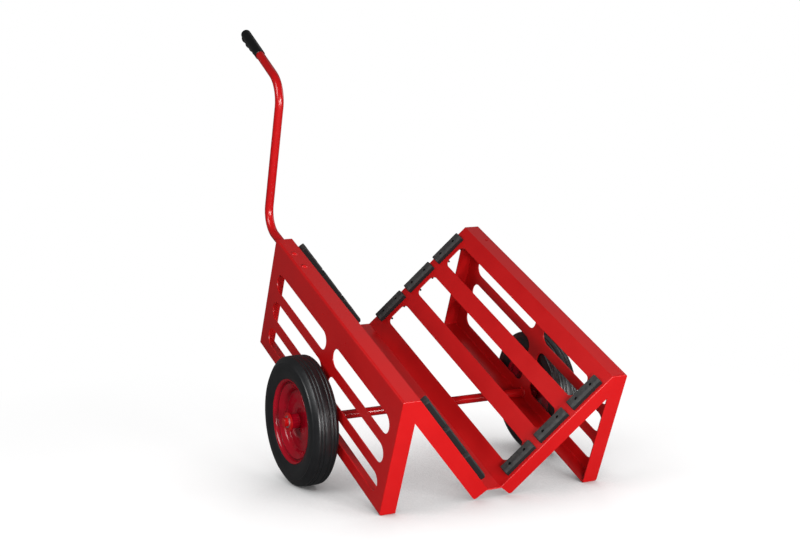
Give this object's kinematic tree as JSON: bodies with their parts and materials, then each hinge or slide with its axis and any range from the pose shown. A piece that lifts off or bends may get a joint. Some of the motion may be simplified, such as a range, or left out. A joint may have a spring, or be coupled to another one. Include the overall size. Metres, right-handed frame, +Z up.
{
  "type": "pipe cart",
  "caption": "Two-wheeled hand cart with a V cradle of folded sheet lined with rubber pads, slotted side panels that stand on their front toes, and a bent tube handle on one side.",
  "frame": {"origin": "on the floor, below the middle of the standing cart's bounding box", "axes": "+X towards the front, where the cart rests on its toes, +Y to the left, along the axle, +Z up"},
  "size_m": [1.0132, 0.867, 1.2464],
  "materials": {
    "red_paint": "glossy red powder coat",
    "pad_rubber": "matt dark grey rubber",
    "grip_rubber": "satin black rubber",
    "tyre_rubber": "satin black rubber",
    "zinc_steel": "zinc plated",
    "spring_steel": "bright spring steel",
    "bush_plastic": "black plain bearing"
  },
  "bodies": {
    "frame": {"left_side_panel": "red_paint", "right_side_panel": "red_paint", "cradle": "red_paint", "left_rear_lower_pad": "pad_rubber", "left_rear_middle_pad": "pad_rubber", "left_rear_upper_pad": "pad_rubber", "left_front_lower_pad": "pad_rubber", "left_front_middle_pad": "pad_rubber", "left_front_upper_pad": "pad_rubber", "right_rear_lower_pad": "pad_rubber", "right_rear_middle_pad": "pad_rubber", "right_rear_upper_pad": "pad_rubber", "right_front_lower_pad": "pad_rubber", "right_front_middle_pad": "pad_rubber", "right_front_upper_pad": "pad_rubber", "pad_screws": "zinc_steel", "pad_nuts": "zinc_steel", "handle_tube": "red_paint", "handle_grip": "grip_rubber", "handle_bolts": "red_paint", "handle_nuts": "zinc_steel", "axle": "red_paint", "left_axle_weld": "red_paint", "left_axle_spacer": "red_paint", "left_inner_washer": "red_paint", "left_outer_washer": "red_paint", "left_circlip": "spring_steel", "right_axle_weld": "red_paint", "right_axle_spacer": "red_paint", "right_inner_washer": "red_paint", "right_outer_washer": "red_paint", "right_circlip": "spring_steel"},
    "left_wheel": {"left_tyre": "tyre_rubber", "left_outer_rim": "red_paint", "left_inner_rim": "red_paint", "left_hub": "red_paint", "left_outer_bush": "bush_plastic", "left_inner_bush": "bush_plastic"},
    "right_wheel": {"right_tyre": "tyre_rubber", "right_outer_rim": "red_paint", "right_inner_rim": "red_paint", "right_hub": "red_paint", "right_outer_bush": "bush_plastic", "right_inner_bush": "bush_plastic"}
  },
  "joints": [
    {"name": "left_wheel_turn", "type": "hinge", "parent": "frame", "child": "left_wheel", "pos_m": [-0.00593, 0.381, 0.179], "axis": [0, 1, 0], "continuous": true},
    {"name": "right_wheel_turn", "type": "hinge", "parent": "frame", "child": "right_wheel", "pos_m": [-0.00593, -0.381, 0.179], "axis": [0, 1, 0], "continuous": true}
  ]
}
